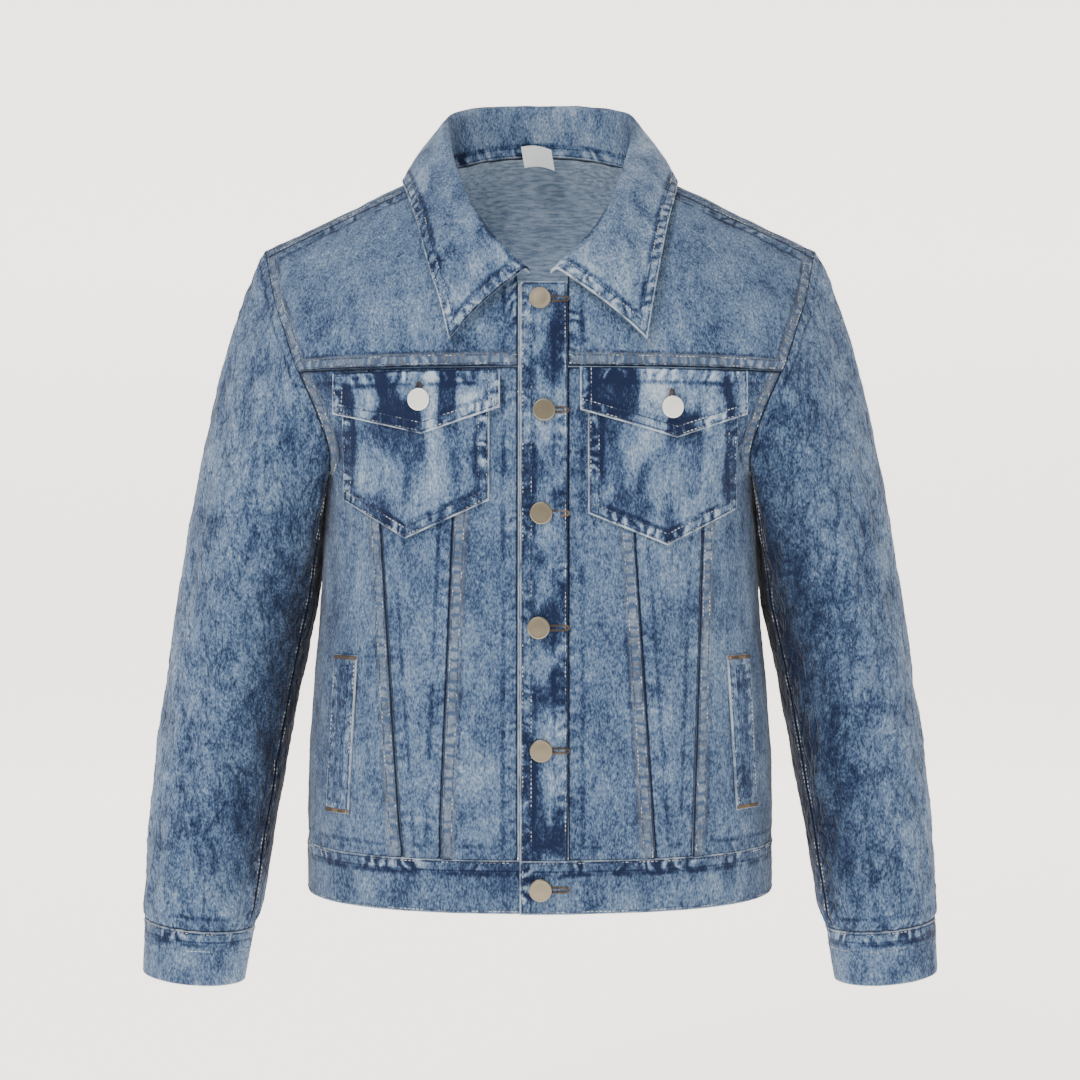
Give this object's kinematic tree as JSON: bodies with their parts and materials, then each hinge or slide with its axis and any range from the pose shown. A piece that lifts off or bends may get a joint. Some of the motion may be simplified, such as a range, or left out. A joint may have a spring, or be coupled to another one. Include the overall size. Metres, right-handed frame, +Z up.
{
  "type": "denim jacket",
  "caption": "Waist-length button-front denim jacket, filled out as worn, with turned-down collar, flap chest pockets, welt pockets, waistband and cuffs.",
  "frame": {"origin": "midway between the two points at the sides of the neck where the wearer's shoulders carry the jacket", "axes": "+Z up, the front faces -Y, +X is the wearer's left"},
  "size_m": [0.6368, 0.2574, 0.724],
  "materials": {
    "denim": "stone-washed cotton twill, mottled mid blue, matt",
    "button_metal": "flat brushed pewter",
    "label": "plain white woven tape"
  },
  "bodies": {
    "root": {"front_centre_right": "denim", "front_middle_right": "denim", "front_side_right": "denim", "front_yoke_right": "denim", "sleeve_upper_right": "denim", "sleeve_under_right": "denim", "cuff_right": "denim", "chest_pocket_right": "denim", "pocket_flap_right": "denim", "welt_right": "denim", "placket_right": "denim", "front_centre_left": "denim", "front_middle_left": "denim", "front_side_left": "denim", "front_yoke_left": "denim", "sleeve_upper_left": "denim", "sleeve_under_left": "denim", "cuff_left": "denim", "chest_pocket_left": "denim", "pocket_flap_left": "denim", "welt_left": "denim", "placket_left": "denim", "back_yoke": "denim", "back_panel": "denim", "waistband": "denim", "collar": "denim", "neck_label": "label", "button_flap_right": "button_metal", "button_flap_left": "button_metal", "button_front_1": "button_metal", "button_front_2": "button_metal", "button_front_3": "button_metal", "button_front_4": "button_metal", "button_front_5": "button_metal", "button_front_6": "button_metal"}
  },
  "joints": []
}
